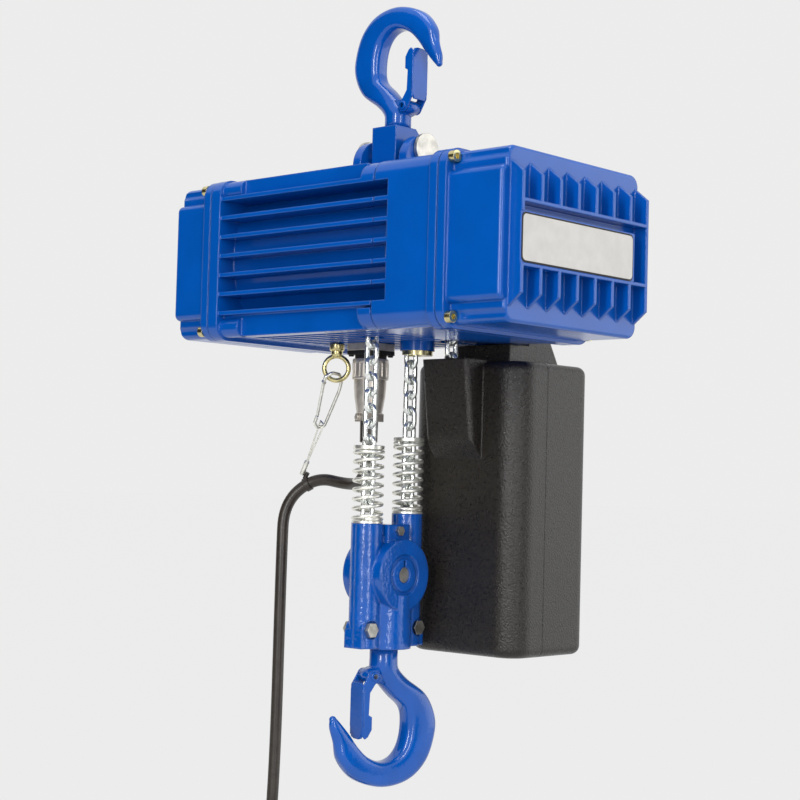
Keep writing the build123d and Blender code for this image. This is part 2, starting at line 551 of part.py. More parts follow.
def corner_radii(points):
    """Largest tangent arc that the two runs beside each corner leave room for."""
    radii = []
    for before, corner, after in zip(points, points[1:], points[2:]):
        into, out = Vector(*corner) - Vector(*before), Vector(*after) - Vector(*corner)
        turn = math.radians(into.get_angle(out))
        radii.append(0.45 * min(into.length, out.length) / math.tan(turn / 2))
    return radii


def band_on(plane, r):
    """Short collar round a rod of radius r."""
    return plane * (Cylinder(r + 1.6, 5) - Cylinder(r + 0.3, 6))


def cable():
    radii = corner_radii(CABLE_POINTS)
    print("cable radii", [round(r, 1) for r in radii])
    path = FilletPolyline(*CABLE_POINTS, radius=radii)
    tube = sweep(Plane(origin=path @ 0, z_dir=path % 0) * Circle(CABLE_R), path=path)
    run = tube.volume / (math.pi * CABLE_R ** 2)
    print("cable length", round(path.length), "tube volume over section", round(run))
    tail = rod_z(PENDANT_TOP + 26, COIL_Z - COIL_JOIN, CABLE_R, CABLE_X, CABLE_Y)
    x, y = CONNECTOR
    sleeve = rod_z(-138.5, -123, SLEEVE_R, x, y) - rod_z(-150, -120, CABLE_R, x, y)
    save("control_cable", tube, tail, sleeve)
    save("cable_coil", Pos(CABLE_X + COIL_R, CABLE_Y, COIL_Z) * Rot(90, 0, 0) * Torus(COIL_R, COIL_THICK))
    save("cable_ties", band_on(Plane(origin=path @ TIE_AT, z_dir=path % TIE_AT), CABLE_R))
    bands = []
    for angle in (60, 180, 300):
        place = Pos(CABLE_X + COIL_R, CABLE_Y, COIL_Z) * Rot(0, angle, 0) * Pos(COIL_R, 0, 0)
        bands.append(band_on(place, COIL_THICK))
    save("coil_bands", *bands)


def connector():
    x, y = CONNECTOR
    top = -HALF_H - 0.1
    plate = Pos(x, y, top - 8) * extrude(RectangleRounded(2 * SOCKET_HALF, 2 * SOCKET_HALF, 3), 8)
    save("connector_socket", plate + rod_z(-72.5, top - 5, 12.6, x, y))
    save("connector_ring", rod_z(-89, -72.8, 14.4, x, y) - rod_z(-90, -72, 13.1, x, y))
    shell = Pos(x, y, -102.5) * Rot(180, 0, 0) * Cone(12.9, 10.1, 27) + rod_z(-90, -72.8, 12.9, x, y)
    save("connector_shell", shell + box(x - 11, x + 11, y - 5.5, y + 5.5, -122.9, -115.5))


# The carabiner hangs through the eye and leans towards the cable. Its points are drawn in its own plane,
# first across from the gate side to the spine, then down its length.
CLIP_DOWN = Vector(-0.5, 0.16, -0.851)
CLIP_ACROSS = Vector(0.241, 0.97, 0.04)
CLIP = Plane(origin=(-64.5, 5.5, -86), x_dir=CLIP_ACROSS, z_dir=CLIP_ACROSS.cross(CLIP_DOWN))
CLIP_POINTS = [(-6.3, 37.8), (-6.7, 44.2), (-2.8, 48.3), (3.4, 47), (4.4, 38), (7, 14.5), (6.6, 6),
               (2.8, -0.8), (-4.6, -2.2), (-9.6, 1.2), (-9.8, 4.3)]
CLIP_RADII = [2.5, 3, 3, 20, 12, 4, 4, 3.5, 2]
GATE_POINTS = ((-9.75, 6.3), (-6.2, 36.8))
GATE_HINGE_R = 1.5


def in_clip(across, down, out=0.0):
    return CLIP.from_local_coords(Vector(across, down, out))


def straight_rod(start, end, r):
    """Round rod from one point to another."""
    along = end - start
    return Plane(origin=(start + end) * 0.5, z_dir=along) * Cylinder(r, along.length)


def eye_and_strain_relief():
    ring = Pos(EYE_X, EYE_Y, EYE_Z) * Rot(0, 0, 42) * Rot(90, 0, 0) * Torus(EYE_R, EYE_WIRE)
    neck = rod_z(EYE_Z + EYE_R - 1, -HALF_H - 0.1, 5.9, EYE_X, EYE_Y)
    neck -= Pos(EYE_X, EYE_Y, EYE_Z) * Sphere(EYE_R - 1)
    save("eye_bolt", ring + neck)
    save("carabiner", wire_rod([in_clip(*point) for point in CLIP_POINTS], CLIP_RADII, CLIP_WIRE))
    hinge = straight_rod(in_clip(*GATE_POINTS[0], -1.5), in_clip(*GATE_POINTS[0], 1.5), GATE_HINGE_R)
    gate = straight_rod(in_clip(*GATE_POINTS[0]), in_clip(*GATE_POINTS[1]), CLIP_WIRE - 0.1)
    save("carabiner_gate", gate + hinge)
    knot, away = Vector(*FERRULE), (Vector(*FERRULE) - in_clip(0.5, 45)).normalized()
    strands = [in_clip(0.5, 43.9, out) for out in (-3.1, 3.1)]
    wire = straight_rod(strands[0], strands[1], 0.7)
    for strand in strands:
        wire += straight_rod(strand, knot, 0.7) + Pos(*strand) * Sphere(0.7)
    save("strain_wire", wire + straight_rod(knot - away * 6, knot + away * 7, 2.2))


def pendant():
    x, y, top, bottom = CABLE_X, CABLE_Y, PENDANT_TOP, PENDANT_TOP - PENDANT_H
    outer = fillet(box(x - 27, x + 27, y - 24, y + 24, bottom, top).edges().filter_by(Axis.Z), 10)
    outer = fillet(outer.edges().group_by(Axis.Z)[0], 6)
    outer += Pos(x, y, top + 13) * Cone(12, 8, 26)
    outer -= rod_z(top, top + 40, CABLE_R, x, y)
    outer -= box(x - 23, x + 23, y - 20, y + 20, bottom + 4, top - 4)
    heights = {"up": top - 68, "down": top - 108}
    for z in heights.values():
        outer -= rod_y(y - 30, y - 10, 11.3, x, z)
    outer -= rod_y(y - 30, y - 10, 8.3, x, top - 26)
    save("pendant_front", outer & box(x - 60, x + 60, y - 60, y - 0.1, bottom - 9, top + 60))
    save("pendant_rear", outer & box(x - 60, x + 60, y + 0.1, y + 60, bottom - 9, top + 60))
    for name, z in heights.items():
        button = rod_y(y - 30, y - 16, 11, x, z)
        save(f"button_{name}", fillet(button.edges().group_by(Axis.Y)[0], 1.5))
    stop = rod_y(y - 36, y - 31, 14, x, top - 26) + rod_y(y - 31.5, y - 16, 8, x, top - 26)
    save("button_stop", fillet(stop.edges().group_by(Axis.Y)[0], 2))


def main():
    os.makedirs("parts", exist_ok=True)
    housing()
    drive()
    chains()
    hooks()
    suspension()
    hook_block()
    container()
    cable()
    connector()
    eye_and_strain_relief()
    pendant()


main()
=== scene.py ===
import json
import math

import bmesh
import bpy
from mathutils import Matrix, Vector


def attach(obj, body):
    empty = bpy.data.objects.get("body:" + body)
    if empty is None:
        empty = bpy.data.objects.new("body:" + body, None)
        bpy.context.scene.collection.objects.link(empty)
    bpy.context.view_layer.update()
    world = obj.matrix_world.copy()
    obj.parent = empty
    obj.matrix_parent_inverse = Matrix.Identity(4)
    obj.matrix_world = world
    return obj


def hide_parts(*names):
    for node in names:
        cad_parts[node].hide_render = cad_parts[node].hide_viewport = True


# Sizes are in millimetres, drawn like the CAD: load axis on X = Y = 0 and the housing's centre on Z = 0.
# at() turns them into metres in the frame's own axes, whose origin is the top hook's seat.
MM = 0.001
SEAT_Z = 180.5
LINK_WIRE, LINK_PITCH, LINK_WIDTH, LINK_INSIDE = 3.9, 12.0, 13.4, 12.1
POCKETS, FALL_LINKS, SLACK_LINKS = 6, 19, 6
SLACK = (32, 33)
FALL_Y = LINK_PITCH / (2 * math.tan(math.pi / (2 * POCKETS)))
SHEAVE_Z = -240.0
CABLE_R = 4.8
CABLE_X, CABLE_Y = -129.0, 12.4
COIL_Z, COIL_R, COIL_LAY = -512.0, 55.0, 4.85
COIL_TURNS, COIL_POINTS = 4, 16
PENDANT_TOP = -620.0
CONNECTOR = (-41.0, 20.0)
FERRULE = (-115.2, 23.0, -159.4)
RING_GRIPS = 16
EYE, EYE_R, EYE_TURN = (-64.2, 5.0, -80.4), 9.7, 42
BACKDROP, FLOOR_GREY, FLOOR_Z = 0.84, 0.03, -1.02


def at(x, y, z):
    """Point in metres in the frame, from millimetres as the CAD is drawn."""
    return Vector((x, y, z - SEAT_Z)) * MM


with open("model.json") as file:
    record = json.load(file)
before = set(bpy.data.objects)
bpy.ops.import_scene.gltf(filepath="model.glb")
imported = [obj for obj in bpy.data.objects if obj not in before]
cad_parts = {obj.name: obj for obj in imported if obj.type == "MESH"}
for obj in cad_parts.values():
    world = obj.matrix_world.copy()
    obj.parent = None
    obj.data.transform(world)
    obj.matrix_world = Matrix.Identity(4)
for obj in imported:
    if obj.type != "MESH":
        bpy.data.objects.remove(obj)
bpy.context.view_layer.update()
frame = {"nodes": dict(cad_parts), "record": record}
nodes = frame["nodes"]
scene = bpy.context.scene
scene.view_settings.view_transform = "Standard"


# ---------------------------------------------------------------- camera, floor and light

CAMERA_PLACE, CAMERA_LENS, SENSOR = (898.15, -970.59, -171.71), 77.5, 36.0
CAMERA_ANGLES = (42.465, -2.819, 1.5386)


def camera():
    """Camera at the front right, below the housing and looking slightly up."""
    azimuth, elevation, roll = map(math.radians, CAMERA_ANGLES)
    back = Vector((math.sin(azimuth) * math.cos(elevation), -math.cos(azimuth) * math.cos(elevation),
                   math.sin(elevation)))
    right = (-back).cross(Vector((0, 0, 1))).normalized()
    up = right.cross(-back)
    side = math.cos(roll) * right + math.sin(roll) * up
    top = math.cos(roll) * up - math.sin(roll) * right
    data = bpy.data.cameras.new("camera")
    data.lens, data.sensor_width = CAMERA_LENS, SENSOR
    eye = bpy.data.objects.new("camera", data)
    place = Matrix.Translation(at(*CAMERA_PLACE))
    eye.matrix_world = place @ Matrix((side, top, back)).transposed().to_4x4()
    scene.collection.objects.link(eye)
    scene.camera = eye


def area_light(name, place, target, size, power):
    """Rectangular lamp that the camera doesn't see, with its size in metres and its power in watts."""
    data = bpy.data.lights.new(name, "AREA")
    data.shape, data.size, data.size_y = "RECTANGLE", size[0], size[1]
    data.energy = power
    lamp = bpy.data.objects.new(name, data)
    lamp.location = place
    lamp.rotation_euler = (Vector(target) - Vector(place)).to_track_quat("-Z", "Y").to_euler()
    lamp.visible_camera = False
    scene.collection.objects.link(lamp)


def plain_surface(name, corners, colour, glow):
    """Matt four-cornered surface of the studio, with some light of its own."""
    mesh = bpy.data.meshes.new(name)
    mesh.from_pydata(corners, [], [(0, 1, 2, 3)])
    made = bpy.data.objects.new(name, mesh)
    scene.collection.objects.link(made)
    paint = bpy.data.materials.new(name)
    paint.use_nodes = True
    shader = paint.node_tree.nodes["Principled BSDF"]
    shader.inputs["Base Color"].default_value = (colour, colour, colour, 1)
    shader.inputs["Roughness"].default_value = 1.0
    shader.inputs["Specular IOR Level"].default_value = 0.0
    shader.inputs["Emission Color"].default_value = (1, 1, 1, 1)
    shader.inputs["Emission Strength"].default_value = glow
    mesh.materials.append(paint)
    return made


def dark_flag(name, place, width, height):
    """Black card that stands upright and faces the object, for the dark bands in its gloss."""
    place = Vector(place)
    side = Vector((-place.y, place.x, 0)).normalized() * width / 2
    up = Vector((0, 0, height / 2))
    corners = [place - side - up, place + side - up, place + side + up, place - side + up]
    plain_surface(name, corners, 0.01, 0.0).visible_camera = False


def studio():
    """Pale backdrop and floor, four lamps and two black cards."""
    world = bpy.data.worlds.new("studio")
    scene.world = world
    world.use_nodes = True
    world.node_tree.nodes["Background"].inputs[0].default_value = (BACKDROP, BACKDROP, BACKDROP, 1)
    floor = [(x, y, FLOOR_Z) for x, y in ((-60, -60), (60, -60), (60, 60), (-60, 60))]
    plain_surface("floor", floor, FLOOR_GREY, BACKDROP - FLOOR_GREY)
    dark_flag("flag_left", (-2.2, -2.3, -0.2), 4.6, 4.0)
    dark_flag("flag_right", (2.9, 0.1, -0.4), 0.9, 3.0)
    middle = (0, 0, -0.3)
    area_light("end_softbox", (2.0, 2.1, 0.1), middle, (2.4, 2.4), 21)
    area_light("key", (0.85, -2.7, 0.4), middle, (0.34, 1.8), 40)
    area_light("strip", (2.6, -1.3, 0.3), middle, (0.3, 2.2), 22)
    area_light("top", (0.3, -0.4, 2.4), middle, (1.6, 1.6), 30)


# ---------------------------------------------------------------- materials

MATERIALS = {}
COAT_ROUGHNESS = 0.06
RAMP_ENDS = (0.35, 0.65)


def material(name, colour, roughness, metallic=0.0, speck=(60, 0.0), grain=(0, 0.0), coat=0.0, edge=0.0,
             shine=0.5):
    """Procedural surface: speck = (scale, amount) varies the colour and roughness, grain = (scale, depth in
    mm) is bump, edge is the radius in mm that sharp edges are shaded with."""
    made = bpy.data.materials.new(name)
    made.use_nodes = True
    made.diffuse_color = (*colour, 1)
    tree = made.node_tree
    shader = tree.nodes["Principled BSDF"]
    shader.inputs["Metallic"].default_value = metallic
    shader.inputs["Roughness"].default_value = roughness
    shader.inputs["Base Color"].default_value = (*colour, 1)
    shader.inputs["Specular IOR Level"].default_value = shine
    shader.inputs["Coat Weight"].default_value = coat
    shader.inputs["Coat Roughness"].default_value = COAT_ROUGHNESS
    place = tree.nodes.new("ShaderNodeTexCoord")
    noise = tree.nodes.new("ShaderNodeTexNoise")
    noise.inputs["Scale"].default_value = speck[0]
    noise.inputs["Detail"].default_value = 6
    tree.links.new(place.outputs["Object"], noise.inputs["Vector"])
    ramp = tree.nodes.new("ShaderNodeValToRGB")
    shares = (1 - speck[1], 1 + speck[1])
    for element, position, share in zip(ramp.color_ramp.elements, RAMP_ENDS, shares):
        element.position = position
        element.color = (*[min(1, c * share) for c in colour], 1)
    tree.links.new(noise.outputs["Fac"], ramp.inputs["Fac"])
    tree.links.new(ramp.outputs["Color"], shader.inputs["Base Color"])
    rough = tree.nodes.new("ShaderNodeMapRange")
    rough.inputs["To Min"].default_value = roughness * (1 - speck[1])
    rough.inputs["To Max"].default_value = min(1, roughness * (1 + speck[1]))
    tree.links.new(noise.outputs["Fac"], rough.inputs["Value"])
    tree.links.new(rough.outputs["Result"], shader.inputs["Roughness"])
    fine = tree.nodes.new("ShaderNodeTexNoise")
    fine.inputs["Scale"].default_value = grain[0]
    fine.inputs["Detail"].default_value = 3
    tree.links.new(place.outputs["Object"], fine.inputs["Vector"])
    bump = tree.nodes.new("ShaderNodeBump")
    bump.inputs["Distance"].default_value = grain[1] * MM
    tree.links.new(fine.outputs["Fac"], bump.inputs["Height"])
    if edge:
        rounding = tree.nodes.new("ShaderNodeBevel")
        rounding.samples = 6
        rounding.inputs["Radius"].default_value = edge * MM
        tree.links.new(rounding.outputs["Normal"], bump.inputs["Normal"])
    tree.links.new(bump.outputs["Normal"], shader.inputs["Normal"])
    tree.links.new(bump.outputs["Normal"], shader.inputs["Coat Normal"])
    MATERIALS[name] = made


BLUE = (0.0, 0.073, 0.36)
material("housing_paint", BLUE, 0.2, speck=(30, 0.05), grain=(260, 0.02), edge=1.6)
material("block_paint", BLUE, 0.14, coat=0.3, speck=(50, 0.08), grain=(300, 0.35), edge=2.2)
material("hook_paint", BLUE, 0.16, coat=0.2, speck=(50, 0.08), grain=(260, 0.10))
material("latch_paint", BLUE, 0.2, speck=(60, 0.08), grain=(300, 0.05), edge=0.6)
material("gasket", (0.008, 0.008, 0.008), 0.7, speck=(300, 0.3), grain=(900, 0.1))
material("yellow_zinc", (0.66, 0.58, 0.30), 0.26, 1.0, speck=(120, 0.25), grain=(700, 0.03), edge=0.4)
material("plate_silver", (0.47, 0.46, 0.44), 0.42, 0.2, speck=(90, 0.05), grain=(900, 0.02))
material("bearing_steel", (0.50, 0.49, 0.45), 0.36, 1.0, speck=(150, 0.2), grain=(800, 0.03), edge=0.5)
material("machined_steel", (0.45, 0.45, 0.45), 0.35, 1.0, speck=(150, 0.2), grain=(700, 0.03), edge=0.4)
material("chain_zinc", (0.86, 0.88, 0.86), 0.24, 0.92, speck=(260, 0.12), grain=(900, 0.03))
material("spring_zinc", (0.88, 0.87, 0.80), 0.3, 0.85, speck=(260, 0.14), grain=(900, 0.03), edge=0.4)
material("guide_plastic", (0.010, 0.010, 0.010), 0.5, speck=(200, 0.2), grain=(800, 0.05), shine=0.3)
material("container_plastic", (0.011, 0.0088, 0.0066), 0.3, speck=(420, 0.4), grain=(700, 0.6), edge=2.0,
         shine=0.45)
material("connector_metal", (0.60, 0.555, 0.50), 0.3, 0.65, speck=(160, 0.12), grain=(700, 0.04), edge=0.5)
material("cable_rubber", (0.026, 0.020, 0.015), 0.36, speck=(140, 0.2), grain=(600, 0.06), edge=0.4)
material("pendant_plastic", (0.82, 0.45, 0.02), 0.45, speck=(80, 0.06), grain=(1400, 0.08), edge=1.5)
material("button_grey", (0.02, 0.02, 0.02), 0.5, speck=(200, 0.2), grain=(1200, 0.05), edge=0.8)
material("button_red", (0.55, 0.01, 0.01), 0.3, coat=0.3, speck=(120, 0.08), grain=(900, 0.03), edge=0.8)


def finish_nodes():
    """Gives every CAD node its slot's material."""
    for part in frame["record"]["subparts"]:
        mesh = nodes[part["node"]].data
        mesh.materials.clear()
        mesh.materials.append(MATERIALS[part["material_slot"]])


# ---------------------------------------------------------------- control cable

# Control points of the cable from the connector past the tie and down to the coil.
CABLE_POINTS = [(-41, 20, -123), (-41, 20, -151.7), (-57.8, 31.2, -170.8), (-80, 39.3, -172.8),
                (-109.8, 30, -166.9), (-131.6, 16.4, -188.6), (-128.8, 12.5, -228.3), (-129, 12.4, -430)]


# How each turn starts: one lay out or in (first number), and to the back or front (second). The fifth is
# where the last turn ends.
COIL_LAYS = [(1, -1), (-1, -1), (-1, 1), (1, 1), (1, 1)]
LAY_CHANGE_FROM, LAY_CHANGE_TAKES = 0.7, 0.3
CORNER_CUT = 1.01


def coil_points():
    """Four turns, laid two by two, entered and left downwards at the left-hand side. The points stand out by
    CORNER_CUT because the curve passes inside them."""
    steps = COIL_TURNS * COIL_POINTS
    points = []
    for step in range(steps + 1):
        angle = 2 * math.pi * step / COIL_POINTS
        turn, part = divmod(step, COIL_POINTS)
        change = max(0.0, part / COIL_POINTS - LAY_CHANGE_FROM) / LAY_CHANGE_TAKES
        lays = zip(COIL_LAYS[turn], COIL_LAYS[min(turn + 1, COIL_TURNS)])
        out, along = [COIL_LAY * (a + (b - a) * change) for a, b in lays]
        r = (COIL_R + out) * CORNER_CUT
        x = CABLE_X + COIL_R - r * math.cos(angle)
        points.append((x, CABLE_Y + along, COIL_Z - r * math.sin(angle)))
    return points


TIE_SHARE = 0.75


def tie_place():
    """Frame at the tie, part of the way round the cable's bend: Z runs along it, X points to the ferrule."""
    before, corner, after = (at(*CABLE_POINTS[index]) for index in (3, 4, 5))
    share = TIE_SHARE
    start, end = 0.5 * (1 - share) ** 2, 0.5 * share ** 2
    middle = before * start + corner * (1 - start - end) + after * end
    along = ((corner - before) * (1 - share) + (after - corner) * share).normalized()
    out = at(*FERRULE) - middle
    out = (out - along * out.dot(along)).normalized()
    side = along.cross(out)
    return Matrix.Translation(middle) @ Matrix((out, side, along)).transposed().to_4x4()


def cable_tie():
    """Black tie round the cable with its head, the cut tail, and the strap that goes up into the ferrule."""
    place = tie_place()
    bm = bmesh.new()
    turned(bm, [(-2.2, 5.0), (-2.4, 5.6), (-2.2, 5.9), (2.2, 5.9), (2.4, 5.6), (2.2, 5.0)], place)
    head, cut_tail = ((-3, 3), (5.2, 9.6), (-2.9, 2.9)), ((-1.2, 0.2), (8, 15), (-1.9, 1.9))
    for (x0, x1), (y0, y1), (z0, z1) in (head, cut_tail):
        corners = [place @ (Vector((x, y0, z)) * MM) for x, z in ((x0, z0), (x1, z0), (x1, z1), (x0, z1))]
        slab(bm, corners, place.to_3x3() @ Vector((0, (y1 - y0) * MM, 0)))
    strap = [place @ Vector((0.0052, 0, 0)), at(*FERRULE) - place.to_3x3() @ Vector((0.005, 0, 0))]
    tube(bm, strap, 0.0018, 12)
    return finished_piece(bm, "cable_tie", "cable_rubber", "housing", "cable_ties", 0.3, 40)


def cable_sleeve():
    """Smooth rubber sleeve on the cable under the connector's clamp."""
    profile = [(-139, 5.0), (-139, 6.4), (-138.4, 7.0), (-122, 7.2)]
    bm = bmesh.new()
    turned(bm, profile, Matrix.Translation(at(*CONNECTOR, 0)))
    return finished_piece(bm, "cable_sleeve", "cable_rubber", "housing", None)


def control_cable():
    """The whole cable as one curve: past the strain relief, down, round the coil and into the pendant."""
    tail = [(CABLE_X, CABLE_Y, COIL_Z - COIL_R), (CABLE_X, CABLE_Y, PENDANT_TOP + 26)]
    points = CABLE_POINTS + coil_points() + tail
    data = bpy.data.curves.new("control_cable_line", "CURVE")
    data.dimensions = "3D"
    line = data.splines.new("NURBS")
    line.points.add(len(points) - 1)
    for point, place in zip(line.points, points):
        point.co = (*at(*place), 1)
    line.order_u = 3
    line.use_endpoint_u = True
    line.resolution_u = 10
    data.bevel_depth = CABLE_R * MM
    data.bevel_resolution = 5
    data.use_fill_caps = True
    cable = bpy.data.objects.new("control_cable_line", data)
    scene.collection.objects.link(cable)
    data.materials.append(MATERIALS["cable_rubber"])
    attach(cable, "housing")
    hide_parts("control_cable", "cable_coil")
    on_cable = [nodes[name] for name in ("pendant_front", "pendant_rear", "button_up", "button_down",
                                         "button_stop", "coil_bands")]
    on_cable += [cable_tie(), cable_sleeve()]


# ---------------------------------------------------------------- mesh helpers

def add_piece(name, mesh, slot, body, *replaced, smooth=True):
    """Links a finished mesh as a piece that rides on a body and stands for the CAD nodes it replaces."""
    piece = bpy.data.objects.new(name, mesh)
    scene.collection.objects.link(piece)
    mesh.materials.append(MATERIALS[slot])
    if smooth:
        mesh.shade_smooth()
    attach(piece, body)
    if replaced:
        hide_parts(*replaced)
    return piece


def tube(bm, path, radius, sides, closed=False):
    """Round bar along a list of points."""
    count = len(path)
    rings = []
    normal = None
    for index, point in enumerate(path):
        before = path[index - 1] if index or closed else point
        after = path[(index + 1) % count] if index < count - 1 or closed else point
        along = (after - before).normalized()
        if normal is None:
            normal = along.orthogonal().normalized()
        normal = (normal - along * normal.dot(along)).normalized()
        across = along.cross(normal)
        ring = []
        for side in range(sides):
            angle = 2 * math.pi * side / sides
            ring.append(bm.verts.new(point + radius * (math.cos(angle) * normal + math.sin(angle) * across)))
        rings.append(ring)
    pairs = list(zip(rings, rings[1:]))
    if closed:
        first = rings[0]
        last = rings[-1]
        shift = min(range(sides), key=lambda k: (first[k].co - last[0].co).length)
        pairs.append((last, first[shift:] + first[:shift]))
    for low, high in pairs:
        for side in range(sides):
            bm.faces.new((low[side], low[(side + 1) % sides], high[(side + 1) % sides], high[side]))
    if not closed:
        bm.faces.new(reversed(rings[0]))
        bm.faces.new(rings[-1])


def mesh_of(bm, name):
    """Mesh from a bmesh, with its normals outwards; the bmesh is freed."""
    bmesh.ops.recalc_face_normals(bm, faces=bm.faces)
    mesh = bpy.data.meshes.new(name)
    bm.to_mesh(mesh)
    bm.free()
    return mesh


# ---------------------------------------------------------------- chain and springs

BEND_STEPS = 14
LINK_SIDES = 16


def link_path():
    """Centre line of one link standing in the XZ plane, in metres."""
    half = (LINK_WIDTH - LINK_WIRE) / 2
    straight = (LINK_INSIDE + LINK_WIRE) / 2 - half
    path = []
    for end in (1, -1):
        for step in range(BEND_STEPS + 1):
            angle = math.pi * step / BEND_STEPS
            height = straight + half * math.sin(angle)
            path.append(Vector((end * half * math.cos(angle), 0, end * height)) * MM)
        path.append(Vector((-end * half, 0, 0)) * MM)
    return path


LINK_PATH = link_path()


def chain(name, places, body, node):
    """Links at these places as one piece."""
    bm = bmesh.new()
    for place in places:
        tube(bm, [place @ point for point in LINK_PATH], LINK_WIRE / 2 * MM, LINK_SIDES, closed=True)
    add_piece(name, mesh_of(bm, name), "chain_zinc", body, node)


def quarter(step):
    """Every second link stands a quarter turn round."""
    return Matrix.Rotation(math.pi / 2 * (step % 2), 4, "Z")


SLACK_TOP = -30


def chains():
    """Two falls, the links round wheel and sheave, and the slack strand into the container."""
    for name, y in (("chain_front_fall", -FALL_Y), ("chain_rear_fall", FALL_Y)):
        places = [Matrix.Translation(at(0, y, -LINK_PITCH * step)) @ quarter(step)
                  for step in range(1, FALL_LINKS + 1)]
        chain(name + "_links", places, "hook_block", name)
    for name, z, way, body in (("wheel_chain", 0, 1, "wheel"), ("sheave_chain", SHEAVE_Z, -1, "sheave")):
        places = []
        for step in range(POCKETS + 1):
            turn = Matrix.Rotation(way * math.pi / POCKETS * step, 4, "X")
            shift = Matrix.Translation((0, FALL_Y * MM, 0))
            places.append(Matrix.Translation(at(0, 0, z)) @ turn @ shift @ quarter(step))
        chain(name + "_links", places, body, name)
    slack = []
    for step in range(SLACK_LINKS):
        slack.append(Matrix.Translation(at(*SLACK, SLACK_TOP - LINK_PITCH * step)) @ quarter(step))
    chain("chain_slack_links", slack, "housing", "chain_slack")


SPRING_R, SPRING_WIRE, SPRING_TURNS, SPRING_LENGTH, WASHER_T = 10.7, 2.9, 8.6, 54.0, 2.0
SPRING_STEPS = 40
# Share of the wire where the coils start to open, the share they open over, and the share of the rise that
# is spread evenly over the whole wire.
OPENS_AT, OPENS_OVER, EVEN_RISE = 0.09, 0.82, 0.1
WASHER_HOLE_R, WASHER_R, WASHER_EDGE = 7.8, 11.9, 0.3
# Height of each spring's lower washer on the block, by the side of the fall.
TOWER_TOP = {-1: -201.5, 1: -194.0}


def springs():
    """Compression springs with closed, ground ends, between turned washers."""
    bm = bmesh.new()
    for side, foot in TOWER_TOP.items():
        low = foot + WASHER_T + SPRING_WIRE / 2
        high = foot + WASHER_T + SPRING_LENGTH - SPRING_WIRE / 2
        steps = int(SPRING_TURNS * SPRING_STEPS)
        path = []
        for step in range(steps + 1):
            share = step / steps
            ease = min(1, max(0, (share - OPENS_AT) / OPENS_OVER))
            rise = low + (high - low) * (share * EVEN_RISE + (1 - EVEN_RISE) * ease)
            angle = 2 * math.pi * SPRING_TURNS * share + side
            path.append(at(SPRING_R * math.cos(angle), side * FALL_Y + SPRING_R * math.sin(angle), rise))
        tube(bm, path, SPRING_WIRE / 2 * MM, 12)
    coils = mesh_of(bm, "limit_springs_coils")
    add_piece("limit_springs_coils", coils, "spring_zinc", "hook_block", "limit_springs")
    bm = bmesh.new()
    for side, foot in TOWER_TOP.items():
        for low, thick in ((foot, WASHER_T), (foot + WASHER_T + SPRING_LENGTH, WASHER_T + 1)):
            high = low + thick
            flat_r = WASHER_R - WASHER_EDGE
            ring = [(low, WASHER_HOLE_R), (low, flat_r), (low + WASHER_EDGE, WASHER_R),
                    (high - WASHER_EDGE, WASHER_R), (high, flat_r), (high, WASHER_HOLE_R)]
            turned(bm, ring, Matrix.Translation(at(0, side * FALL_Y, 0)), bored=True)
    finished_piece(bm, "spring_washers_turned", "spring_zinc", "hook_block", "spring_washers")


# ---------------------------------------------------------------- hooks and latches

# Cross-sections of the forged hook: outer and inner point as (side, height from the seat), and thickness.
HOOK_STATIONS = [((-10.25, 72), (10.25, 72), 20.5), ((-11.6, 66), (9.9, 65), 20.2),
                 ((-20, 58), (5.2, 57), 19.5), ((-34.5, 47), (-5.5, 46.5), 18.5),
                 ((-42.5, 32), (-15.8, 37), 18), ((-43, 18), (-17.6, 24), 18), ((-36, -1), (-15, 11), 18),
                 ((-21, -14), (-8.5, 2.6), 18), ((1, -18), (1.5, 0), 17.5), ((23, -11.5), (12.5, 3.8), 15.5),
                 ((36, 2), (20.6, 11), 12.5), ((40, 15), (27, 20), 9.5), ((43.2, 25), (34.6, 28.6), 7.5),
                 ((43.4, 30.6), (38.6, 32.6), 5)]
HOOK_SIDES, STATION_STEPS = 32, 6
# Power of the cross-section's outline: a round one, and the flat-sided one of the bowl.
ROUND, FLAT_SIDED = 2.0, 3.2
LATCH_X, LATCH_Z = 12.0, 61.5
LOAD_HOOK_SCALE = 1.06
TOP_HOOK = Matrix.Translation(at(0, 0, SEAT_Z)) @ Matrix.Rotation(math.pi, 4, "X")
LOAD_HOOK = Matrix.Translation(at(0, 0, -382)) @ Matrix.Rotation(math.radians(-105), 4, "Z")


def curve_through(values, step, t):
    """Smooth value a share t of the way between numbers step and step + 1 of a list (Catmull-Rom)."""
    a, b, c, d = (values[min(max(step + shift, 0), len(values) - 1)] for shift in (-1, 0, 1, 2))
    square, cube = 2 * a - 5 * b + 4 * c - d, 3 * b - a - 3 * c + d
    return 0.5 * (2 * b + (c - a) * t + square * t * t + cube * t ** 3)


def skin(bm, rings, capped=True):
    """Joins rings of the same number of points into a closed skin."""
    made = [[bm.verts.new(point) for point in ring] for ring in rings]
    count = len(made[0])
    for low, high in zip(made, made[1:]):
        for side in range(count):
            bm.faces.new((low[side], low[(side + 1) % count], high[(side + 1) % count], high[side]))
    if capped:
        bm.faces.new(reversed(made[0]))
        bm.faces.new(made[-1])


